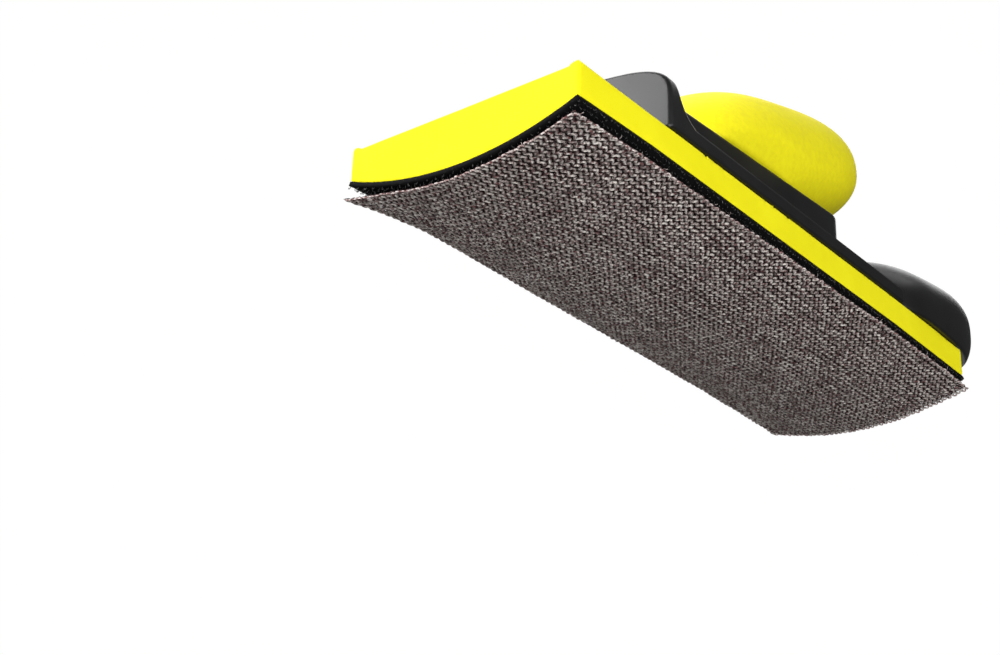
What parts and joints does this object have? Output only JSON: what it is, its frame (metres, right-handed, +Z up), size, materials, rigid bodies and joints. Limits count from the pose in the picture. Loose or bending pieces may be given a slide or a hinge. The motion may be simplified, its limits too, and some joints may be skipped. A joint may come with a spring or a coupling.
{
  "type": "hand sanding block",
  "caption": "Long hand sanding block with a convex yellow foam sole, black moulded body, front stop, yellow knob, rear palm rest and a pull-off abrasive net.",
  "frame": {"origin": "under the middle of the block, at the lowest line of the abrasive net on the convex sole", "axes": "+X from the front stop to the palm rest, +Y across the block, +Z up from the sole to the knob"},
  "size_m": [0.2201, 0.0728, 0.0791],
  "materials": {
    "black_plastic": "fine satin mould texture",
    "yellow_foam": "closed-cell foam with a cut edge",
    "yellow_grip": "soft moulded skin, matte",
    "core_plastic": "moulded, unpainted",
    "screw_steel": "zinc plated",
    "adhesive": "adhesive film",
    "hook_fabric": "nylon micro hooks on a woven backing",
    "abrasive_net": "knitted net with grit bonded to the threads"
  },
  "bodies": {
    "block": {"body_shell": "black_plastic", "base_plate": "black_plastic", "base_screws": "screw_steel", "knob_core": "core_plastic", "knob_grip": "yellow_grip", "knob_screws": "screw_steel", "pad_adhesive": "adhesive", "foam_pad": "yellow_foam", "hook_adhesive": "adhesive", "hook_layer": "hook_fabric"},
    "net": {"abrasive_net": "abrasive_net"}
  },
  "joints": [
    {"name": "net_pull", "type": "slide", "parent": "block", "child": "net", "axis": [0, 0, -1], "range_m": [0, 0.04]}
  ]
}
